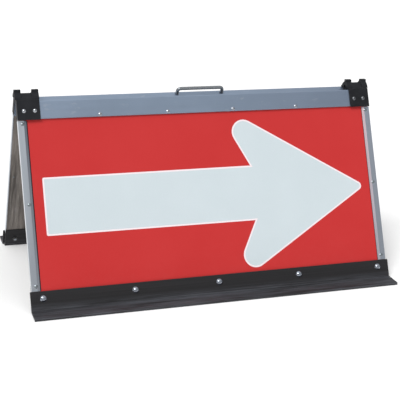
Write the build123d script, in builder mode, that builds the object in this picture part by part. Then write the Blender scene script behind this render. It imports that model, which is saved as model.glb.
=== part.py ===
"""Folding A-frame road barricade: two identical sign panels hinged along their top edges.

Millimetres, +Z up. The origin is on the ground, midway between the feet and below the hinge line.
+X runs along the hinge line, to the right for someone who faces the front panel, and +Y to the rear.
Each panel is a plywood board with a red reflective sheet and an arrow on its outer face, an aluminium rail
over its top edge, an aluminium angle on each side edge and a rubber foot on its bottom edge.
A moulded cap at each end of each rail carries half of a hinge. The front cap's two knuckles and the rear
cap's single knuckle turn on a steel pin, and the caps' upright stop tabs come back to back over the pin when
the barricade stands fully open. The rear rail carries the handle.
Otherwise the rear panel is the front panel turned half round. Left and right are as seen facing a panel.
"""

import math
import os

from build123d import *

os.makedirs("parts", exist_ok=True)

# ---- The whole barricade, standing open ----
panel_lean = 24.8  # degrees from upright, half the angle between the panels
foot_length = 910.0
frame_width = 902.0  # over the side frames
cap_outer = 450.8  # the hinge caps' outer ends, from the centre

# Places on a panel: rise is measured up the board's outer face from the ground,
# and out is measured square to that face, away from the board.
pin_rise = 498.0
pin_out = -12.0
rail_top = 487.5
rail_bottom = 444.0
board_top = 470.0
board_bottom = 10.0
cap_bottom = 442.0
cheek_back_bottom = 450.0

# ---- Thicknesses, square to the board ----
board_thick = 9.0
sheet_thick = 0.3
arrow_thick = 0.15
rail_depth = 5.2  # from the sheet to the rail's outer face
rail_front_leg = 2.0
rail_back_leg = 2.5
rail_web = 4.0
angle_thick = 3.0
angle_edge_leg = 1.8
angle_face_leg = 20.0
angle_bevel = 6.0  # how far the face leg's inner edge slopes down towards the sheet
angle_inner_edge = 0.8  # what is left of the inner edge's thickness below the slope
angle_end_gap = 0.4  # from each angle's end to the foot or the cap
cap_plate = 2.5
cap_cheek = 1.4
foot_front_wall = 5.0
foot_back_wall = 3.0

# ---- Foot ----
foot_front_rise = 47.3
foot_back_rise = 61.0
flange_reach = 47.0
flange_root_thick = 6.2
flange_tip_thick = 6.2
foot_round = 1.5
flange_root_radius = 1.5

# ---- Hinge ----
cap_width = 53.0
hinge_outer = 453.6  # the hinge reaches past the rest of the cap at both ends
hinge_width = 57.0
tab_width = 15.5
tab_thick = 4.4
tab_top = 466.0  # height above the ground
tab_gap = 0.12  # from the tab's stop face to the plane through the hinge line
knuckle_radius = 8.6
knuckle_inset = 9.0  # from each end of the hinge to the end knuckles and the pin's heads
knuckle_clearance = 0.5
knuckle_side_gap = 0.15
cover_radius = 11.3  # the web over the other cap's knuckle
tab_arm_y = 13.2  # where the arm under each tab bends, in front of the hinge line
tab_arm_z = 454.5
tab_foot_z = 461.0
pin_radius = 3.0
pin_head = (4.6, 1.6)  # radius and height
pin_end_play = 0.1
pin_running_clearance = 0.05
shoulder_y = 18.0  # the cap's shoulder, in front of the hinge line
panel_clearance = 0.4  # from a cap's or rail's inner side to the plane through the pin

# ---- Fasteners: head radius, head height, shank radius ----
rivet_head = (4.5, 1.7)
rivet_shank = 2.0
rivet_tail = (3.2, 1.1)
screw_head = (4.8, 2.4)
screw_recess = (4.6, 1.0, 1.3)  # length, width and depth of each slot of the cross
screw_shank = 2.4
screw_length = 13.0
bolt_head = (8.2, 4.4)
bolt_shank = 3.0
bolt_tail = 0.5
washer_size = (6.0, 0.8)
nut_size = (4.5, 3.2)  # half the width across flats, and height
hole_clearance = 0.05

rail_rivet_rise = 449.6
rail_rivet_pitch = 167.5
rail_offset = -5.0  # the rail's rivets and the handle sit a little left of centre
angle_rivet_rises = (59.0, 246.0, 433.0)
angle_rivet_inset = 11.0
foot_bolt_rise = 30.0
foot_bolt_pitch = 208.5
foot_end_bolt = 425.6
cap_screw_rise = 463.2
cap_screw_insets = (15.6, 41.0)

# ---- Handle ----
handle_half_width = 58.0
handle_rise = 16.2  # from the rail's top to the bar's centre line
handle_bend = 8.0
handle_radius = 4.1
handle_foot_out = -4.0
handle_stud_radius = 2.5
handle_stud_length = 9.5
handle_washer = (5.6, 1.0)
handle_nut = (4.0, 4.0)

# ---- Arrow, in the panel's plane ----
arrow_centre_rise = 239.5
arrow_shaft_half = 67.7
arrow_tail_x = -405.0
arrow_neck_x = 110.0
arrow_tip_x = 416.8
arrow_tip_half_angle = 30.8
arrow_barb_x = 24.5
arrow_tip_radius = 11.0
arrow_barb_radius = 31.0
arrow_tail_radius = 4.0

# ---- Worked out from the above ----
lean = math.radians(panel_lean)
hinge_z = pin_rise * math.cos(lean) + pin_out * math.sin(lean)
apex_rise = pin_rise - pin_out / math.tan(lean)
board_line_y = -apex_rise * math.sin(lean)  # where the board's outer face meets the ground
sheet_out = sheet_thick
rail_front_out = sheet_thick + rail_depth
rail_back_out = -board_thick - rail_back_leg
angle_out = sheet_thick + angle_thick
cap_plate_out = rail_front_out + cap_plate
cap_back_out = pin_out + panel_clearance
foot_front_out = sheet_thick + foot_front_wall
foot_back_out = -board_thick - foot_back_wall
board_half = frame_width / 2 - angle_edge_leg
rail_half = cap_outer - cap_cheek - 0.1
flange_tip_y = board_line_y - flange_reach

panel = Plane(
    origin=(0, board_line_y, 0),
    x_dir=(1, 0, 0),
    z_dir=(0, -math.cos(lean), math.sin(lean)),
)

rail_rivets_at = [
    (rail_offset + step * rail_rivet_pitch, rail_rivet_rise)
    for step in (-1.5, -0.5, 0.5, 1.5)
]
angle_rivets_at = [
    (side * (frame_width / 2 - angle_rivet_inset), rise)
    for side in (-1, 1)
    for rise in angle_rivet_rises
]
foot_bolts_at = [
    (x, foot_bolt_rise)
    for x in (-foot_end_bolt, -foot_bolt_pitch, 0, foot_bolt_pitch, foot_end_bolt)
]
cap_screws_at = [
    (side * (cap_outer - inset), cap_screw_rise)
    for side in (-1, 1)
    for inset in cap_screw_insets
]
handle_feet_x = (rail_offset - handle_half_width, rail_offset + handle_half_width)


def section_point(rise, out):
    """The (y, z) of a place on the panel, seen along the hinge line."""
    y = board_line_y + rise * math.sin(lean) - out * math.cos(lean)
    z = rise * math.cos(lean) + out * math.sin(lean)
    return (y, z)


def places(points, out):
    """Locations on the panel, with their Z axis square to the board and pointing away from it."""
    return [panel.location * Location((x, rise, out)) for x, rise in points]


def slab(left, right, low, high, out):
    """A rectangle on the panel, at the given distance out from the board's face."""
    with BuildSketch(panel.offset(out)) as made:
        with Locations(((left + right) / 2, (low + high) / 2)):
            Rectangle(right - left, high - low)
    return made.sketch


def discs(points, radius, out):
    """A circle at each point on the panel, at the given distance out from the board's face."""
    with BuildSketch(panel.offset(out)) as made:
        with Locations(*points):
            Circle(radius)
    return made.sketch


def section(points, x):
    """A closed outline seen along the hinge line, at the given x."""
    with BuildSketch(Plane.YZ.offset(x)) as made:
        with BuildLine():
            Polyline(*points, close=True)
        make_face()
    return made.sketch


def save(piece, name):
    """Write one piece under its node name."""
    piece.label = name
    export_step(piece, f"parts/{name}.step")


def save_rear(piece, name):
    """Turn a piece half round, on to the rear panel, and write it."""
    save(piece.rotate(Axis.Z, 180), name)


def save_pair(piece, name):
    """Write a piece for the front panel, and the same piece turned half round for the rear panel."""
    save(piece, f"front_{name}")
    save_rear(piece, f"rear_{name}")


# ---- Board: plywood, drilled for every fastener that passes through it ----
with BuildPart() as board:
    extrude(slab(-board_half, board_half, board_bottom, board_top, 0), amount=-board_thick)
    for points, radius in (
        (rail_rivets_at + angle_rivets_at, rivet_shank),
        (foot_bolts_at, bolt_shank),
        (cap_screws_at, screw_shank),
    ):
        holes = discs(points, radius + hole_clearance, 0)
        extrude(holes, amount=-board_thick, mode=Mode.SUBTRACT)
save_pair(board.part, "board")

# ---- Red sheet: reflective film over the whole outer face ----
with BuildPart() as red_sheet:
    extrude(slab(-board_half, board_half, board_bottom, board_top, 0), amount=sheet_thick)
    for points, radius in (
        (rail_rivets_at + angle_rivets_at, rivet_shank),
        (foot_bolts_at, bolt_shank),
        (cap_screws_at, screw_shank),
    ):
        holes = discs(points, radius + hole_clearance, 0)
        extrude(holes, amount=sheet_thick, mode=Mode.SUBTRACT)
save_pair(red_sheet.part, "red_sheet")

# ---- Arrow: cut film with rounded tip, barbs and tail corners ----
arrow_barb_rise = (arrow_tip_x - arrow_barb_x) * math.tan(math.radians(arrow_tip_half_angle))
arrow_plane = Plane(panel.location * Location((0, arrow_centre_rise, sheet_out)))
with BuildPart() as arrow:
    with BuildSketch(arrow_plane) as arrow_outline:
        with BuildLine():
            Polyline(
                (arrow_tip_x, 0),
                (arrow_barb_x, arrow_barb_rise),
                (arrow_neck_x, arrow_shaft_half),
                (arrow_tail_x, arrow_shaft_half),
                (arrow_tail_x, -arrow_shaft_half),
                (arrow_neck_x, -arrow_shaft_half),
                (arrow_barb_x, -arrow_barb_rise),
                close=True,
            )
        make_face()
        fillet(arrow_outline.vertices().sort_by(Axis.X)[-1], arrow_tip_radius)
        fillet(arrow_outline.vertices().sort_by(Axis.X)[:2], arrow_tail_radius)
        barbs = (
            arrow_outline.vertices().sort_by(Axis.Y)[0],
            arrow_outline.vertices().sort_by(Axis.Y)[-1],
        )
        fillet(barbs, arrow_barb_radius)
    extrude(amount=arrow_thick)
save_pair(arrow.part, "arrow")

# ---- Top rail: a channel that grips the board's top edge and carries the hinge caps ----
rail_round = 3.4
rail_back_round = 1.2
rail_chamfer = 0.6
rail_section = [
    section_point(rail_bottom, sheet_out),
    section_point(rail_bottom, rail_front_out),
    section_point(rail_top, rail_front_out),
    section_point(rail_top, rail_back_out),
    section_point(rail_bottom, rail_back_out),
    section_point(rail_bottom, -board_thick),
    section_point(rail_top - rail_web, -board_thick),
    section_point(rail_top - rail_web, rail_front_out - rail_front_leg),
    section_point(rail_bottom + rail_front_leg, rail_front_out - rail_front_leg),
    section_point(rail_bottom + rail_front_leg, sheet_out),
]
with BuildPart() as top_rail:
    extrude(section(rail_section, -rail_half), amount=2 * rail_half)
    long_edges = top_rail.edges().filter_by(Axis.X)
    front_top = long_edges.sort_by(Axis.Z)[-1]
    back_top = long_edges.sort_by(Axis.Y)[-1]
    front_bottom = long_edges.sort_by(Axis.Y)[0]
    fillet(front_top, rail_round)
    fillet(back_top, rail_back_round)
    chamfer(front_bottom, rail_chamfer)
    rivet_holes = discs(rail_rivets_at, rivet_shank + hole_clearance, rail_front_out)
    extrude(rivet_holes, amount=rail_back_out - rail_front_out, mode=Mode.SUBTRACT)
    screw_holes = discs(cap_screws_at, screw_shank + hole_clearance, rail_front_out)
    extrude(screw_holes, amount=-rail_depth, mode=Mode.SUBTRACT)
save(top_rail.part, "front_top_rail")

# The rear rail has two more holes, through its top, for the handle.
rail_top_face = Plane(panel.location * Location((0, rail_top, 0), (-90, 0, 0)))
with BuildPart() as rear_rail:
    add(top_rail.part)
    with BuildSketch(rail_top_face):
        with Locations(*[(x, -handle_foot_out) for x in handle_feet_x]):
            Circle(handle_stud_radius + hole_clearance)
    extrude(amount=-rail_web, mode=Mode.SUBTRACT)
save_rear(rear_rail.part, "rear_top_rail")

# ---- Side angles: cover the board's side edges, between the foot and the cap ----
angle_bottom = foot_front_rise + angle_end_gap
angle_top = cap_bottom - angle_end_gap
angle_length = angle_top - angle_bottom


def side_angle(side):
    """The aluminium angle on one side edge: -1 is the left edge and 1 is the right edge."""
    outer = side * frame_width / 2
    face_inner = side * (frame_width / 2 - angle_face_leg)
    edge_inner = side * board_half
    across = Plane(panel.location * Location((0, angle_bottom, 0), (-90, 0, 0)))
    with BuildPart() as made:
        with BuildSketch(across):
            with BuildLine():
                Polyline(
                    (outer, -angle_out),
                    (face_inner + side * angle_bevel, -angle_out),
                    (face_inner, -sheet_out - angle_inner_edge),
                    (face_inner, -sheet_out),
                    (edge_inner, -sheet_out),
                    (edge_inner, board_thick),
                    (outer, board_thick),
                    close=True,
                )
            make_face()
        extrude(amount=angle_length)
        rivets = [point for point in angle_rivets_at if point[0] * side > 0]
        holes = discs(rivets, rivet_shank + hole_clearance, angle_out)
        extrude(holes, amount=-angle_thick, mode=Mode.SUBTRACT)
    return made.part


save_pair(side_angle(-1), "left_side_angle")
save_pair(side_angle(1), "right_side_angle")

# ---- Foot: a rubber channel with a wide flange, gripping the board's bottom edge.
# What lies behind the board's face stops at the side frames. ----
back_wall_rise = -foot_back_out * math.tan(lean)
flange_root_rise = (flange_root_thick - foot_front_out * math.sin(lean)) / math.cos(lean)
foot_section = [
    section_point(back_wall_rise, foot_back_out),
    section_point(foot_back_rise, foot_back_out),
    section_point(foot_back_rise, -board_thick),
    section_point(board_bottom, -board_thick),
    section_point(board_bottom, sheet_out),
    section_point(foot_front_rise, sheet_out),
    section_point(foot_front_rise, foot_front_out),
    section_point(flange_root_rise, foot_front_out),
    (flange_tip_y, flange_tip_thick),
    (flange_tip_y, 0),
]
with BuildPart() as foot:
    extrude(section(foot_section, -foot_length / 2), amount=foot_length)
    long_edges = foot.edges().filter_by(Axis.X)
    flange_tip_top = long_edges.group_by(Axis.Y)[0].sort_by(Axis.Z)[-1]
    front_wall_top = long_edges.sort_by(
        lambda edge: (edge.center() - Vector(0, *section_point(foot_front_rise, foot_front_out))).length
    )[0]
    flange_root = long_edges.sort_by(
        lambda edge: (edge.center() - Vector(0, *section_point(flange_root_rise, foot_front_out))).length
    )[0]
    fillet((flange_tip_top, front_wall_top), foot_round)
    fillet(flange_root, flange_root_radius)
    holes = discs(foot_bolts_at, bolt_shank + hole_clearance, foot_front_out)
    extrude(holes, amount=foot_back_out - foot_front_out, mode=Mode.SUBTRACT)
    for side in (-1, 1):
        ends = sorted((side * frame_width / 2, side * foot_length / 2))
        extrude(slab(*ends, 0, foot_back_rise, 0), amount=foot_back_out, mode=Mode.SUBTRACT)
save_pair(foot.part, "foot")

# ---- Hinge caps ----
# Both caps have a tab at each end. The front cap has a knuckle beside each tab and the rear cap
# has the one between them. A wider bore at each end lets the pin in and hides its heads.
cap_inner = cap_outer - cap_width
hinge_inner = hinge_outer - hinge_width
middle_notch = (hinge_inner + tab_width, hinge_outer - tab_width)
tab_spans = ((hinge_inner, middle_notch[0]), (middle_notch[1], hinge_outer))
knuckles_inner = hinge_inner + knuckle_inset
knuckles_outer = hinge_outer - knuckle_inset
front_spans = ((knuckles_inner, middle_notch[0]), (middle_notch[1], knuckles_outer))
front_room = (
    (knuckles_inner - knuckle_side_gap, middle_notch[0] + knuckle_side_gap),
    (middle_notch[1] - knuckle_side_gap, knuckles_outer + knuckle_side_gap),
)
rear_spans = ((middle_notch[0] + knuckle_side_gap, middle_notch[1] - knuckle_side_gap),)
rear_room = (middle_notch,)
plate_corner_rise = (hinge_z - cap_plate_out * math.sin(lean)) / math.cos(lean)
cap_section = [
    section_point(cap_bottom, rail_front_out),
    section_point(cap_bottom, cap_plate_out),
    section_point(plate_corner_rise, cap_plate_out),
    (-shoulder_y, hinge_z),
    section_point(pin_rise, cap_back_out),
    section_point(rail_top, cap_back_out),
    section_point(rail_top, rail_front_out),
]
cheek_section = [
    section_point(cap_bottom, rail_front_out),
    section_point(rail_top, rail_front_out),
    section_point(rail_top, cap_back_out),
    section_point(cheek_back_bottom, cap_back_out),
]
tab_section = [
    (-shoulder_y, hinge_z),
    (-tab_arm_y, tab_arm_z),
    (-tab_gap - tab_thick, tab_foot_z),
    (-tab_gap - tab_thick, tab_top),
    (-tab_gap, tab_top),
    (-tab_gap, hinge_z),
]


def barrel(radius, span):
    """A round bar along the hinge line, from span[0] to span[1] in x."""
    with BuildSketch(Plane.YZ.offset(span[0])) as made:
        with Locations((0, hinge_z)):
            Circle(radius)
    return extrude(made.sketch, amount=span[1] - span[0], mode=Mode.PRIVATE)


def knuckle_cover(span):
    """The web's curve up and over the other cap's knuckle, as far as the plane through the pin."""
    tangent_angle = math.acos(cover_radius / shoulder_y)
    tangent = (
        -cover_radius * math.cos(tangent_angle),
        hinge_z + cover_radius * math.sin(tangent_angle),
    )
    with BuildSketch(Plane.YZ.offset(span[0])) as made:
        with Locations((0, hinge_z)):
            Circle(cover_radius)
        with Locations((-tab_gap - cover_radius / 2, hinge_z + cover_radius / 2)):
            Rectangle(cover_radius, cover_radius, mode=Mode.INTERSECT)
        with BuildLine():
            Polyline((-shoulder_y, hinge_z), tangent, (-tab_gap, hinge_z), close=True)
        make_face()
    return extrude(made.sketch, amount=span[1] - span[0], mode=Mode.PRIVATE)


def hinge_cap(own_spans, clear_spans):
    """A cap for the right end of a rail, with knuckles on own_spans and room for others on clear_spans."""
    with BuildPart() as made:
        extrude(section(cap_section, cap_inner), amount=cap_width)
        extrude(section(cheek_section, cap_outer - cap_cheek), amount=cap_cheek)
        for low, high in tab_spans:
            extrude(section(tab_section, low), amount=high - low)
        for span in clear_spans:
            add(knuckle_cover(span))
            add(barrel(knuckle_radius + knuckle_clearance, span), mode=Mode.SUBTRACT)
        for span in own_spans:
            add(barrel(knuckle_radius, span))
        add(barrel(pin_radius + pin_running_clearance, (hinge_inner, hinge_outer)), mode=Mode.SUBTRACT)
        for head_span in ((hinge_inner, knuckles_inner), (knuckles_outer, hinge_outer)):
            add(barrel(pin_head[0] + knuckle_clearance, head_span), mode=Mode.SUBTRACT)
        screws = [point for point in cap_screws_at if point[0] > 0]
        holes = discs(screws, screw_shank + hole_clearance, cap_plate_out)
        extrude(holes, amount=-cap_plate, mode=Mode.SUBTRACT)
    return made.part


front_cap = hinge_cap(front_spans, rear_room)
rear_cap = hinge_cap(rear_spans, front_room)
save(front_cap, "front_right_hinge_cap")
save(front_cap.mirror(Plane.YZ), "front_left_hinge_cap")
save(rear_cap.rotate(Axis.Z, 180), "rear_right_hinge_cap")
save(rear_cap.mirror(Plane.YZ).rotate(Axis.Z, 180), "rear_left_hinge_cap")

# ---- Hinge pins: a plain shank with a round head at each end ----
with BuildPart() as hinge_pin:
    add(barrel(pin_radius, (knuckles_inner - pin_head[1], knuckles_outer + pin_head[1])))
    add(barrel(pin_head[0], (knuckles_inner - pin_head[1], knuckles_inner - pin_end_play)))
    add(barrel(pin_head[0], (knuckles_outer + pin_end_play, knuckles_outer + pin_head[1])))
save(hinge_pin.part, "right_hinge_pin")
save(hinge_pin.part.mirror(Plane.YZ), "left_hinge_pin")


# ---- Fasteners ----
def headed(head, shank_radius, length, tail=(0, 0)):
    """A domed fastener along Z: its head sits on z = 0 and its shank runs down to z = -length."""
    head_radius, head_height = head
    tail_radius, tail_height = tail
    sphere = (head_radius**2 + head_height**2) / (2 * head_height)
    half_angle = math.asin(head_radius / sphere) / 2
    middle = (sphere * math.sin(half_angle), head_height - sphere + sphere * math.cos(half_angle))
    end = -length - tail_height
    with BuildPart() as made:
        with BuildSketch(Plane.XZ):
            with BuildLine():
                ThreePointArc((0, head_height), middle, (head_radius, 0))
                Polyline((head_radius, 0), (shank_radius, 0), (shank_radius, -length))
                if tail_height:
                    Polyline((shank_radius, -length), (tail_radius, -length), (tail_radius, end), (0, end))
                else:
                    Line((shank_radius, -length), (0, end))
                Line((0, end), (0, head_height))
            make_face()
        revolve(axis=Axis.Z)
    return made.part


def placed(piece, locations):
    """Copies of a piece, one at each location."""
    with BuildPart() as made:
        with Locations(*locations):
            add(piece)
    return made.part


rail_rivet = headed(rivet_head, rivet_shank, rail_front_out - rail_back_out, rivet_tail)
angle_rivet = headed(rivet_head, rivet_shank, angle_out + board_thick)
recess_length, recess_width, recess_depth = screw_recess
with BuildPart() as cap_screw:
    add(headed(screw_head, screw_shank, screw_length))
    with Locations((0, 0, screw_head[1])):
        Box(recess_length, recess_width, 2 * recess_depth, mode=Mode.SUBTRACT)
        Box(recess_width, recess_length, 2 * recess_depth, mode=Mode.SUBTRACT)
foot_bolt_length = foot_front_out - foot_back_out + washer_size[1] + nut_size[1] + bolt_tail
foot_bolt = headed(bolt_head, bolt_shank, foot_bolt_length)
save_pair(placed(rail_rivet, places(rail_rivets_at, rail_front_out)), "rail_rivets")
save_pair(placed(angle_rivet, places(angle_rivets_at, angle_out)), "side_rivets")
save_pair(placed(cap_screw.part, places(cap_screws_at, cap_plate_out)), "cap_screws")
save_pair(placed(foot_bolt, places(foot_bolts_at, foot_front_out)), "foot_bolts")


def ring(radius, hole, thick):
    """A flat washer from z = -thick to z = 0."""
    with BuildPart() as made:
        with BuildSketch():
            Circle(radius)
            Circle(hole + hole_clearance, mode=Mode.SUBTRACT)
        extrude(amount=-thick)
    return made.part


def hex_nut(half_flats, hole, thick):
    """A hexagonal nut from z = -thick to z = 0."""
    with BuildPart() as made:
        with BuildSketch():
            RegularPolygon(half_flats, 6, major_radius=False)
            Circle(hole + hole_clearance, mode=Mode.SUBTRACT)
        extrude(amount=-thick)
    return made.part


foot_washer = ring(washer_size[0], bolt_shank, washer_size[1])
foot_nut = hex_nut(nut_size[0], bolt_shank, nut_size[1])
save_pair(placed(foot_washer, places(foot_bolts_at, foot_back_out)), "foot_washers")
save_pair(placed(foot_nut, places(foot_bolts_at, foot_back_out - washer_size[1])), "foot_nuts")

# ---- Handle: a bent rod with threaded ends, through the rear rail's top ----
handle_top = rail_top + handle_rise
handle_foot = rail_top + handle_washer[1]
handle_plane = panel.offset(handle_foot_out)
with BuildPart() as carry_handle:
    with BuildLine(handle_plane) as handle_path:
        FilletPolyline(
            (handle_feet_x[0], handle_foot),
            (handle_feet_x[0], handle_top),
            (handle_feet_x[1], handle_top),
            (handle_feet_x[1], handle_foot),
            radius=handle_bend,
        )
    with BuildSketch(Plane(handle_path.line @ 0, z_dir=handle_path.line % 0)):
        Circle(handle_radius)
    sweep()
    with BuildSketch(Plane(panel.location * Location((0, handle_foot, 0), (-90, 0, 0)))):
        with Locations(*[(x, -handle_foot_out) for x in handle_feet_x]):
            Circle(handle_stud_radius)
    extrude(amount=-handle_stud_length)
save_rear(carry_handle.part, "carry_handle")

handle_feet = [
    rail_top_face.location * Location((x, -handle_foot_out, 0))
    for x in handle_feet_x
]
handle_washer_piece = ring(handle_washer[0], handle_stud_radius, handle_washer[1])
handle_nut_piece = hex_nut(handle_nut[0], handle_stud_radius, handle_nut[1])
washer_places = [foot_at * Location((0, 0, handle_washer[1])) for foot_at in handle_feet]
nut_places = [foot_at * Location((0, 0, -rail_web)) for foot_at in handle_feet]
save_rear(placed(handle_washer_piece, washer_places), "handle_washers")
save_rear(placed(handle_nut_piece, nut_places), "handle_nuts")
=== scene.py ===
"""The looks of a folding A-frame road barricade: its materials, small details, floor, light and camera."""

import math

import bpy
from mathutils import Matrix, Vector


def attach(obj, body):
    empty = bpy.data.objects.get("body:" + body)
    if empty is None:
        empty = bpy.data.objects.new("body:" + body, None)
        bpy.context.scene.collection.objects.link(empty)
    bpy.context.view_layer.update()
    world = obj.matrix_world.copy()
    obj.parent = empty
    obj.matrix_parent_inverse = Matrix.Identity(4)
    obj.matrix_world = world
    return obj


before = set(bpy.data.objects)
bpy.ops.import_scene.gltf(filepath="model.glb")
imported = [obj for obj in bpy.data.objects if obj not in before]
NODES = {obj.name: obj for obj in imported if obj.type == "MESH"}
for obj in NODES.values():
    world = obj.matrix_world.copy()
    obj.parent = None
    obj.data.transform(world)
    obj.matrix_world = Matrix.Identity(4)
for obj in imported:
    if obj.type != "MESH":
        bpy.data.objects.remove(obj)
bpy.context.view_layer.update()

MM = 0.001
PANEL_LEAN = math.radians(24.8)
PANELS = (("front", -1), ("rear", 1))  # name and side

# ---- Colours ----
RED = (0.485, 0.024, 0.024)
RED_TINT = (0.510, 0.028, 0.028)
ARROW = (0.53, 0.60, 0.63)
ARROW_TINT = (0.56, 0.63, 0.66)
RIM = (0.80, 0.69, 0.72)
RIM_TINT = (0.84, 0.74, 0.77)
GRIME = (0.30, 0.27, 0.24)
# Painted shadow: the colour of the dark lines that stand for the shade in the gaps beside the side frames.
SHADOW_LINE = (0.016, 0.008, 0.012)
SHADOW_LINE_TINT = (0.034, 0.012, 0.016)

RAIL = (0.290, 0.360, 0.470)
RAIL_TINT = (0.255, 0.320, 0.415)
RAIL_RIGHT_SHADE = (0.222, 0.272, 0.360)  # painted shade: darker towards the rail's right end
LEFT_TRIM = (0.46, 0.50, 0.55)
# Painted shade on the left side frame's sloped edge, which faces away from the light.
LEFT_SLOPE_SHADE = (0.17, 0.19, 0.23)
# Painted shade: the right side frame is a darker copy of the left one's aluminium grey.
RIGHT_TRIM_SHADED = (0.37, 0.41, 0.48)
RIGHT_TRIM_SHADED_TINT = (0.33, 0.37, 0.44)
# Painted highlight and painted reflection of the red sheet on the right side frame's sloped edge.
RIGHT_SLOPE_REFLECTION = (0.58, 0.45, 0.48)
TRIM_LOW = (0.33, 0.36, 0.40)
# Painted highlight on the side frames' faces that face along X.
TRIM_SIDE_HIGHLIGHT = (0.66, 0.69, 0.72)
METAL_MARKS = (0.62, 0.64, 0.66)
METAL_WORN = (0.75, 0.77, 0.80)

RUBBER = (0.008, 0.008, 0.009)
RUBBER_TINT = (0.018, 0.017, 0.019)
RUBBER_DUST = (0.165, 0.175, 0.205)
RUBBER_WORN = (0.10, 0.10, 0.10)
MOULDING = (0.009, 0.010, 0.012)
MOULDING_TINT = (0.016, 0.017, 0.020)
MOULDING_WORN = (0.09, 0.09, 0.09)

WOOD_DARK = (0.080, 0.070, 0.062)
WOOD_LIGHT = (0.33, 0.295, 0.270)
WOOD_DAMP = (0.13, 0.115, 0.105)
WOOD_CRACKS = (0.045, 0.038, 0.033)
WOOD_SCRATCHES = (0.62, 0.60, 0.59)

FLOOR = (0.94, 0.94, 0.94)
FLOOR_TINT = (0.95, 0.95, 0.95)
SKY = (1, 1, 1, 1)

# ---- Ranges that many materials share ----
NOISE_LOW = 0.3  # most of a noise's values lie between these two
NOISE_HIGH = 0.7
FLAT = 0.98  # how far a rounded normal agrees with the face's own: on an open face, and on a worn edge
WORN = 0.75


# ---- Node building ----
class Recipe:
    """A node material made one step at a time. Every step returns the socket that the next one takes."""

    def __init__(self, name):
        self.material = bpy.data.materials.new(name)
        self.material.use_nodes = True
        self.tree = self.material.node_tree
        self.shader = self.tree.nodes["Principled BSDF"]
        self.place = self.tree.nodes.new("ShaderNodeTexCoord").outputs["Object"]

    def feed(self, socket, value):
        """Link a socket to an input, or set the input to a plain value."""
        if isinstance(value, bpy.types.NodeSocket):
            self.tree.links.new(value, socket)
        elif isinstance(value, tuple):
            socket.default_value = (*value, 1)
        else:
            socket.default_value = value

    def mapped(self, scale, side=0):
        """The row's own place, scaled. With a side, it is first turned so that Z runs up that panel."""
        turned = self.tree.nodes.new("ShaderNodeMapping")
        turned.inputs["Rotation"].default_value = (-side * PANEL_LEAN, 0, 0)
        self.feed(turned.inputs["Vector"], self.place)
        scaled = self.tree.nodes.new("ShaderNodeMapping")
        scaled.inputs["Scale"].default_value = scale
        self.feed(scaled.inputs["Vector"], turned.outputs["Vector"])
        return scaled.outputs["Vector"]

    def noise(self, scale=1.0, detail=3.0, rough=0.55, at=None):
        node = self.tree.nodes.new("ShaderNodeTexNoise")
        node.inputs["Scale"].default_value = scale
        node.inputs["Detail"].default_value = detail
        node.inputs["Roughness"].default_value = rough
        self.feed(node.inputs["Vector"], at or self.place)
        return node.outputs["Fac"]

    def cells(self, scale, at):
        node = self.tree.nodes.new("ShaderNodeTexVoronoi")
        node.inputs["Scale"].default_value = scale
        self.feed(node.inputs["Vector"], at)
        return node.outputs["Distance"]

    def ramp(self, value, low, high, to_low=0.0, to_high=1.0):
        node = self.tree.nodes.new("ShaderNodeMapRange")
        self.feed(node.inputs["Value"], value)
        node.inputs["From Min"].default_value = low
        node.inputs["From Max"].default_value = high
        node.inputs["To Min"].default_value = to_low
        node.inputs["To Max"].default_value = to_high
        return node.outputs["Result"]

    def spread(self, value, to_low=0.0, to_high=1.0):
        """A noise's usual range, spread over another."""
        return self.ramp(value, NOISE_LOW, NOISE_HIGH, to_low, to_high)

    def compute(self, operation, first, second=0.0):
        node = self.tree.nodes.new("ShaderNodeMath")
        node.operation = operation
        self.feed(node.inputs[0], first)
        self.feed(node.inputs[1], second)
        return node.outputs["Value"]

    def times(self, first, second):
        return self.compute("MULTIPLY", first, second)

    def mix(self, share, first, second):
        """A colour between two colours."""
        node = self.tree.nodes.new("ShaderNodeMix")
        node.data_type = "RGBA"
        self.feed(node.inputs["Factor"], share)
        color_inputs = [socket for socket in node.inputs if socket.type == "RGBA"]
        self.feed(color_inputs[0], first)
        self.feed(color_inputs[1], second)
        return [socket for socket in node.outputs if socket.type == "RGBA"][0]

    def edges(self, radius):
        """1 along worn edges and 0 on open faces."""
        bevel = self.tree.nodes.new("ShaderNodeBevel")
        bevel.inputs["Radius"].default_value = radius
        bevel.samples = 4
        geometry = self.tree.nodes.new("ShaderNodeNewGeometry")
        agreement = self.tree.nodes.new("ShaderNodeVectorMath")
        agreement.operation = "DOT_PRODUCT"
        self.feed(agreement.inputs[0], bevel.outputs["Normal"])
        self.feed(agreement.inputs[1], geometry.outputs["Normal"])
        return self.ramp(agreement.outputs["Value"], FLAT, WORN)

    def facing(self, axis, start, full):
        """0 to 1 as the surface turns to face along the given row axis, either way."""
        geometry = self.tree.nodes.new("ShaderNodeNewGeometry")
        parts = self.tree.nodes.new("ShaderNodeSeparateXYZ")
        self.feed(parts.inputs["Vector"], geometry.outputs["True Normal"])
        return self.ramp(self.compute("ABSOLUTE", parts.outputs[axis]), start, full)

    def split(self):
        """The row's own X, Y and Z."""
        node = self.tree.nodes.new("ShaderNodeSeparateXYZ")
        self.feed(node.inputs["Vector"], self.place)
        return node.outputs

    def bump(self, height, distance, strength, under=None):
        node = self.tree.nodes.new("ShaderNodeBump")
        node.inputs["Distance"].default_value = distance
        node.inputs["Strength"].default_value = strength
        self.feed(node.inputs["Height"], height)
        if under is not None:
            self.feed(node.inputs["Normal"], under)
        return node.outputs["Normal"]

    def finish(self, color, roughness, normal=None, **plain):
        """Link the shader's inputs and return the material. Plain values go on the shader itself."""
        self.feed(self.shader.inputs["Base Color"], color)
        self.feed(self.shader.inputs["Roughness"], roughness)
        if normal is not None:
            self.feed(self.shader.inputs["Normal"], normal)
        for name, value in plain.items():
            self.shader.inputs[name.replace("_", " ")].default_value = value
        return self.material


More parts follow.
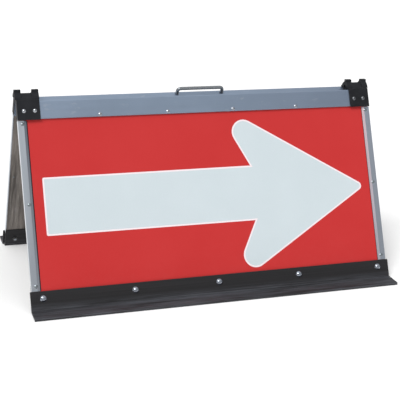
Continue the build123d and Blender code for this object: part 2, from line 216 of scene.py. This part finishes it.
# ---- Materials. Lengths are in metres, and a noise's scale is in waves to the metre ----
def film(name, side, color, tint, dust):
    """Reflective film: tiny sealed cells under a smooth skin, with faint mottling and road dust low down."""
    r = Recipe(name)
    across = r.mapped((1, 1, 1), side)
    mottle = r.noise(scale=9.0, detail=4.0)
    fine = r.noise(scale=260.0, detail=2.0, at=across)
    shade = r.compute("ADD", r.spread(mottle, 0.0, 0.6), r.spread(fine, 0.0, 0.4))
    base = r.mix(shade, color, tint)
    low = r.ramp(r.split()["Z"], 0.16, 0.03)
    specks = r.ramp(r.noise(scale=70.0, detail=5.0, rough=0.7), 0.45, 0.75)
    base = r.mix(r.times(r.times(low, specks), dust), base, GRIME)
    normal = r.bump(r.cells(330.0, across), distance=0.00004, strength=0.25)
    return r.finish(base, r.spread(mottle, 0.36, 0.46), normal, Specular_IOR_Level=0.25)


def brushed_aluminium(name, side, color, tint, slope_light=None):
    """Anodised aluminium with fine lines along its length and handling marks.

    A side frame is given the colour of painted light on its sloped edge: painted shade on the left frame, a
    painted highlight and painted reflection of the red sheet on the right one. A side frame also gets a
    painted highlight on its faces along X. A rail has none of these, and is painted darker to the right, as
    painted shade.
    """
    r = Recipe(name)
    stretch = (4, 320, 320) if slope_light is None else (320, 320, 4)
    lines = r.noise(rough=0.6, at=r.mapped(stretch, side))
    marks = r.ramp(r.noise(detail=5.0, rough=0.7, at=r.mapped((30, 60, 60), side)), 0.60, 0.75)
    place = r.split()
    base = r.mix(r.spread(r.noise(scale=7.0)), color, tint)
    # Painted shade on a rail: darker towards its right end.
    if slope_light is None:
        base = r.mix(r.ramp(place["X"], 0.0, 0.42, 0.0, 0.8), base, RAIL_RIGHT_SHADE)
    base = r.mix(r.times(marks, 0.25), base, METAL_MARKS)
    base = r.mix(r.times(r.edges(0.0008), 0.4), base, METAL_WORN)
    if slope_light is not None:
        base = r.mix(r.ramp(place["Z"], 0.40, 0.08, 0.0, 0.6), base, TRIM_LOW)
        # Painted light on the sloped edge: its colour is mixed in, with more of it higher up.
        slope_light_share = r.ramp(place["Z"], 0.05, 0.38, 0.22, 0.85)
        base = r.mix(r.times(r.facing("X", 0.2, 0.3), slope_light_share), base, slope_light)
        # Painted highlight on the faces that face along X.
        base = r.mix(r.facing("X", 0.7, 0.9), base, TRIM_SIDE_HIGHLIGHT)
    rough = r.ramp(lines, 0.2, 0.8, 0.30, 0.48)
    return r.finish(base, rough, r.bump(lines, distance=0.00003, strength=0.6), Metallic=0.85)


def rubber(name, side):
    """Extruded rubber: dark, with lines along its length and dust lying on the flange."""
    r = Recipe(name)
    lines = r.noise(detail=4.0, rough=0.65, at=r.mapped((3, 420, 420), side))
    smears = r.noise(detail=5.0, rough=0.7, at=r.mapped((9, 90, 90)))
    grain = r.noise(scale=900.0, detail=2.0)
    base = r.mix(r.ramp(lines, 0.3, 0.75), RUBBER, RUBBER_TINT)
    low = r.ramp(r.split()["Z"], 0.020, 0.006)
    dust = r.times(low, r.ramp(r.times(smears, lines), 0.15, 0.40))
    base = r.mix(r.times(dust, 0.40), base, RUBBER_DUST)
    base = r.mix(r.times(r.edges(0.0012), 0.25), base, RUBBER_WORN)
    fine = r.bump(grain, distance=0.00004, strength=0.5)
    normal = r.bump(lines, distance=0.00015, strength=0.5, under=fine)
    return r.finish(base, r.spread(grain, 0.52, 0.68), normal, Specular_IOR_Level=0.3)


def black_moulding():
    """Satin black moulding with a fine spark texture and slightly worn edges."""
    r = Recipe("black_moulding")
    grain = r.noise(scale=1400.0, rough=0.6)
    base = r.mix(r.spread(r.noise(scale=30.0)), MOULDING, MOULDING_TINT)
    base = r.mix(r.times(r.edges(0.0009), 0.3), base, MOULDING_WORN)
    normal = r.bump(grain, distance=0.00005, strength=0.7)
    return r.finish(base, r.spread(grain, 0.50, 0.64), normal, Specular_IOR_Level=0.15)


def weathered_plywood(name, side):
    """Bare plywood gone grey outdoors: streaks, damp patches, cracks and scratches that run up the panel."""
    r = Recipe(name)
    grain = r.noise(detail=6.0, rough=0.65, at=r.mapped((95, 95, 5), side))
    cracks = r.noise(detail=4.0, rough=0.7, at=r.mapped((700, 700, 22), side))
    damp = r.noise(detail=4.0, rough=0.6, at=r.mapped((12, 12, 3), side))
    scratches = r.noise(detail=5.0, rough=0.75, at=r.mapped((520, 520, 9), side))
    base = r.mix(r.ramp(grain, 0.35, 0.65), WOOD_DARK, WOOD_LIGHT)
    base = r.mix(r.ramp(damp, 0.35, 0.7, 0.0, 0.5), base, WOOD_DAMP)
    base = r.mix(r.ramp(cracks, 0.55, 0.75, 0.0, 0.6), base, WOOD_CRACKS)
    base = r.mix(r.ramp(scratches, 0.54, 0.68, 0.0, 0.55), base, WOOD_SCRATCHES)
    streaks = r.bump(grain, distance=0.0006, strength=0.5)
    normal = r.bump(cracks, distance=0.00030, strength=0.6, under=streaks)
    return r.finish(base, r.spread(grain, 0.78, 0.92), normal)


def plated(name, color, roughness, spread=0.08, shade_from=None):
    """Plated steel: bright, with a faint cast and small dull spots. Beyond a given X it can be painted
    darker, as painted shade, and rougher.
    """
    r = Recipe(name)
    spots = r.noise(scale=380.0, detail=4.0, rough=0.65)
    base = r.mix(r.ramp(spots, 0.45, 0.8), color, tuple(0.72 * part for part in color))
    rough = r.spread(r.noise(scale=60.0), roughness - spread / 2, roughness + spread)
    if shade_from is not None:
        # Painted shade: darker beyond the given X.
        dull = r.ramp(r.split()["X"], shade_from, shade_from + 0.01)
        base = r.mix(dull, base, tuple(0.4 * part for part in color))
        rough = r.compute("ADD", rough, r.times(dull, 0.25))
    return r.finish(base, rough, r.bump(spots, distance=0.00002, strength=0.5), Metallic=1.0)


def rim_film():
    r = Recipe("arrow_rim")
    mottle = r.noise(scale=300.0)
    return r.finish(r.mix(mottle, RIM, RIM_TINT), r.spread(mottle, 0.36, 0.46), Specular_IOR_Level=0.25)


# Painted shadow for the dark lines beside the side frames.
def shadow_line_material():
    r = Recipe("shadow_line")
    grain = r.noise(scale=500.0)
    return r.finish(r.mix(grain, SHADOW_LINE, SHADOW_LINE_TINT), r.spread(grain, 0.55, 0.75), Specular_IOR_Level=0.2)


def floor_paint():
    r = Recipe("floor_paint")
    grain = r.noise(scale=40.0)
    return r.finish(r.mix(grain, FLOOR, FLOOR_TINT), r.spread(grain, 0.8, 0.9))


def dress(finishes):
    """Give each named piece its one material."""
    for node_name, material in finishes.items():
        NODES[node_name].data.materials.clear()
        NODES[node_name].data.materials.append(material)


black = black_moulding()
zinc = plated("zinc_plate", (0.31, 0.34, 0.39), 0.17)
rail_rivet_zinc = plated("rail_rivet_zinc", (0.34, 0.36, 0.40), 0.26)
# Cap screws painted darker on the right, as painted shade.
screw_zinc = plated("screw_zinc_plate", (0.40, 0.42, 0.45), 0.17, shade_from=0.2)
rivet_grey = plated("rivet_grey", (0.24, 0.27, 0.29), 0.28)
dull_zinc = plated("dull_zinc_plate", (0.16, 0.16, 0.16), 0.45)
pin_steel = plated("pin_steel", (0.45, 0.46, 0.48), 0.28)
handle_steel = plated("handle_steel", (0.28, 0.30, 0.32), 0.26, spread=0.05)
for panel, side in PANELS:
    # The right frame gets the painted-shade grey plus a painted highlight and reflection on its sloped edge.
    # The left frame gets painted shade on its sloped edge.
    left_trim = brushed_aluminium(
        f"{panel}_left_angle_aluminium", side, LEFT_TRIM, LEFT_TRIM, LEFT_SLOPE_SHADE
    )
    right_trim = brushed_aluminium(
        f"{panel}_right_angle_aluminium", side, RIGHT_TRIM_SHADED, RIGHT_TRIM_SHADED_TINT, RIGHT_SLOPE_REFLECTION
    )
    dress(
        {
            f"{panel}_board": weathered_plywood(f"{panel}_plywood", side),
            f"{panel}_red_sheet": film(f"{panel}_red_film", side, RED, RED_TINT, dust=0.02),
            f"{panel}_arrow": film(f"{panel}_arrow_film", side, ARROW, ARROW_TINT, dust=0.05),
            f"{panel}_top_rail": brushed_aluminium(f"{panel}_rail_aluminium", side, RAIL, RAIL_TINT),
            f"{panel}_left_side_angle": left_trim,
            f"{panel}_right_side_angle": right_trim,
            f"{panel}_foot": rubber(f"{panel}_rubber", side),
            f"{panel}_foot_bolts": zinc,
            f"{panel}_foot_washers": dull_zinc,
            f"{panel}_foot_nuts": dull_zinc,
            f"{panel}_rail_rivets": rail_rivet_zinc,
            f"{panel}_side_rivets": rivet_grey,
            f"{panel}_cap_screws": screw_zinc,
            f"{panel}_left_hinge_cap": black,
            f"{panel}_right_hinge_cap": black,
        }
    )
dress(
    {
        "left_hinge_pin": pin_steel,
        "right_hinge_pin": pin_steel,
        "carry_handle": handle_steel,
        "handle_washers": zinc,
        "handle_nuts": dull_zinc,
    }
)

# ---- Places on a panel, in millimetres: along it, up its face from the ground, and out from its board ----
BOARD_FOOT_Y = -219.78  # where the board's outer face meets the ground


def on_panel(side, along, rise, out):
    """A place on a panel, in metres in the row frame. side is -1 for the front panel and 1 for the rear."""
    y = BOARD_FOOT_Y + rise * math.sin(PANEL_LEAN) - out * math.cos(PANEL_LEAN)
    z = rise * math.cos(PANEL_LEAN) + out * math.sin(PANEL_LEAN)
    return (-side * along * MM, -side * y * MM, z * MM)


def between(low, high, count):
    """The faces that join two closed loops, whose points start at the numbers low and high."""
    steps = [(here, (here + 1) % count) for here in range(count)]
    return [(low + here, low + ahead, high + ahead, high + here) for here, ahead in steps]


def new_piece(name, vertices, faces, material):
    mesh = bpy.data.meshes.new(name)
    mesh.from_pydata(vertices, [], faces)
    mesh.materials.append(material)
    piece = bpy.data.objects.new(name, mesh)
    bpy.context.scene.collection.objects.link(piece)
    return piece


# ---- Arrow rims: a brighter band that runs round the edge of each arrow ----
ARROW_RISE = 239.5
ARROW_CORNERS = (  # along the panel, up from the arrow's centre line, and the corner's radius
    (416.8, 0.0, 11.0),
    (24.5, 233.83, 31.0),
    (110.0, 67.7, 0.0),
    (-405.0, 67.7, 4.0),
    (-405.0, -67.7, 4.0),
    (110.0, -67.7, 0.0),
    (24.5, -233.83, 31.0),
)
RIM_INSET = 0.25
RIM_WIDTH = 3.6
RIM_BASE = 0.44  # just inside the arrow, out from the board
RIM_TOP = 0.47  # just above the arrow's own face
CORNER_STEPS = 10
SHARPEST_MITRE = 0.3  # keeps a sharp corner's inset point from running far away


def rounded_outline(corners):
    """The points of an outline with its corners rounded, in the order in which the corners are given."""
    points = []
    for index, (x, y, radius) in enumerate(corners):
        corner = Vector((x, y))
        if radius == 0:
            points.append(corner)
            continue
        before = (Vector(corners[index - 1][:2]) - corner).normalized()
        after = (Vector(corners[(index + 1) % len(corners)][:2]) - corner).normalized()
        half = before.angle(after) / 2
        centre = corner + (before + after).normalized() * radius / math.sin(half)
        start = corner + before * radius / math.tan(half) - centre
        end = corner + after * radius / math.tan(half) - centre
        turn = start.angle_signed(end)
        for step in range(CORNER_STEPS + 1):
            points.append(centre + Matrix.Rotation(-turn * step / CORNER_STEPS, 2) @ start)
    return points


def inset(points, distance):
    """The same outline moved inwards by a distance, for an outline given anticlockwise."""
    moved = []
    for index, point in enumerate(points):
        before = (point - points[index - 1]).normalized()
        after = (points[(index + 1) % len(points)] - point).normalized()
        inward = Vector((-before.y - after.y, before.x + after.x)).normalized()
        reach = distance / max(SHARPEST_MITRE, inward.dot(Vector((-before.y, before.x))))
        moved.append(point + inward * reach)
    return moved


outline = rounded_outline(ARROW_CORNERS)
outer_loop = inset(outline, RIM_INSET)
inner_loop = inset(outline, RIM_INSET + RIM_WIDTH)
rim_loops = ((outer_loop, RIM_BASE), (outer_loop, RIM_TOP), (inner_loop, RIM_TOP), (inner_loop, RIM_BASE))
rim_faces = []
for number in range(len(rim_loops)):
    following = (number + 1) % len(rim_loops)
    rim_faces += between(number * len(outline), following * len(outline), len(outline))
rim_finish = rim_film()
for panel, side in PANELS:
    vertices = [
        on_panel(side, point.x, ARROW_RISE + point.y, out)
        for loop, out in rim_loops
        for point in loop
    ]
    rim = new_piece(f"{panel}_arrow_rim", vertices, rim_faces, rim_finish)
    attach(rim, f"{panel}_panel")

# ---- Painted shadow: dark lines in the gaps between the sheet and the side frames ----
SHADOW_LINES = ((-431.1, -428.3), (429.9, 431.1))  # from and to, along the panel
SHADOW_LINE_RISES = (48.0, 441.0)
SHADOW_LINE_BASE = 0.28  # just inside the sheet, out from the board
SHADOW_LINE_TOP = 0.36


def shadow_line_corners(side, shadow_line, out):
    """The corners of one layer of a painted shadow line, anticlockwise as seen facing the panel."""
    left, right = shadow_line
    low, high = SHADOW_LINE_RISES
    corners = ((left, low), (right, low), (right, high), (left, high))
    return [on_panel(side, along, rise, out) for along, rise in corners]


shadow_line_finish = shadow_line_material()
for panel, side in PANELS:
    vertices = []
    faces = []
    for shadow_line in SHADOW_LINES:
        base = len(vertices)
        vertices += shadow_line_corners(side, shadow_line, SHADOW_LINE_BASE)
        top = len(vertices)
        vertices += shadow_line_corners(side, shadow_line, SHADOW_LINE_TOP)
        faces += between(base, top, top - base)
        faces.append(tuple(range(top, len(vertices))))
        faces.append(tuple(reversed(range(base, top))))
    shadow_lines = new_piece(f"{panel}_seals", vertices, faces, shadow_line_finish)
    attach(shadow_lines, f"{panel}_panel")

# ---- Floor ----
FLOOR_HALF = 30.0
floor_corners = [(x * FLOOR_HALF, y * FLOOR_HALF, 0) for x, y in ((-1, -1), (1, -1), (1, 1), (-1, 1))]
floor = new_piece("floor", floor_corners, [(0, 1, 2, 3)], floor_paint())

# ---- Light: one soft key light from the left, and a sky that is brighter overhead ----
SUN_TOWARDS = Vector((-0.45, -0.42, 0.79))
SUN_STRENGTH = 2.0
SUN_WIDTH = math.radians(25)
SKY_START = 0.2  # how high the sky starts to brighten, where 1 is overhead
SKY_LOW = 0.40  # brightness below that
SKY_HIGH = 0.95  # brightness overhead

sun_data = bpy.data.lights.new("key_light", "SUN")
sun_data.energy = SUN_STRENGTH
sun_data.angle = SUN_WIDTH
sun = bpy.data.objects.new("key_light", sun_data)
sun.rotation_euler = (-SUN_TOWARDS).to_track_quat("-Z", "Y").to_euler()
bpy.context.scene.collection.objects.link(sun)

world = bpy.data.worlds.new("studio")
world.use_nodes = True
sky = world.node_tree
sky_place = sky.nodes.new("ShaderNodeTexCoord")
sky_parts = sky.nodes.new("ShaderNodeSeparateXYZ")
sky.links.new(sky_place.outputs["Generated"], sky_parts.inputs["Vector"])
sky_ramp = sky.nodes.new("ShaderNodeMapRange")
sky_ramp.inputs["From Min"].default_value = SKY_START
sky_ramp.inputs["From Max"].default_value = 1.0
sky_ramp.inputs["To Min"].default_value = SKY_LOW
sky_ramp.inputs["To Max"].default_value = SKY_HIGH
sky.links.new(sky_parts.outputs["Z"], sky_ramp.inputs["Value"])

# Seen directly, the sky is plain white.
sky_seen = sky.nodes.new("ShaderNodeLightPath")
sky_strength = sky.nodes.new("ShaderNodeMath")
sky_strength.operation = "MAXIMUM"
sky.links.new(sky_seen.outputs["Is Camera Ray"], sky_strength.inputs[0])
sky.links.new(sky_ramp.outputs["Result"], sky_strength.inputs[1])
sky.links.new(sky_strength.outputs["Value"], sky.nodes["Background"].inputs["Strength"])
sky.nodes["Background"].inputs["Color"].default_value = SKY
bpy.context.scene.world = world
bpy.context.scene.view_settings.view_transform = "Standard"

# ---- Camera ----
CAMERA_PLACE = Vector((-0.8163, -2.3519, 1.0167))
CAMERA_YAW = math.radians(19.479)
CAMERA_PITCH = math.radians(-18.854)
CAMERA_ROLL = math.radians(2.573)
FOCAL_SHARE = 2.5853  # focal length over sensor width
SENSOR_MM = 36.0

forward = Vector(
    (
        math.sin(CAMERA_YAW) * math.cos(CAMERA_PITCH),
        math.cos(CAMERA_YAW) * math.cos(CAMERA_PITCH),
        math.sin(CAMERA_PITCH),
    )
)
level_right = Vector((math.cos(CAMERA_YAW), -math.sin(CAMERA_YAW), 0))
level_up = level_right.cross(forward)
right = math.cos(CAMERA_ROLL) * level_right + math.sin(CAMERA_ROLL) * level_up
up = -math.sin(CAMERA_ROLL) * level_right + math.cos(CAMERA_ROLL) * level_up
camera_data = bpy.data.cameras.new("camera")
camera_data.sensor_width = SENSOR_MM
camera_data.lens = FOCAL_SHARE * SENSOR_MM
camera = bpy.data.objects.new("camera", camera_data)
camera.matrix_world = Matrix.Translation(CAMERA_PLACE) @ Matrix((right, up, -forward)).transposed().to_4x4()
bpy.context.scene.collection.objects.link(camera)
bpy.context.scene.camera = camera
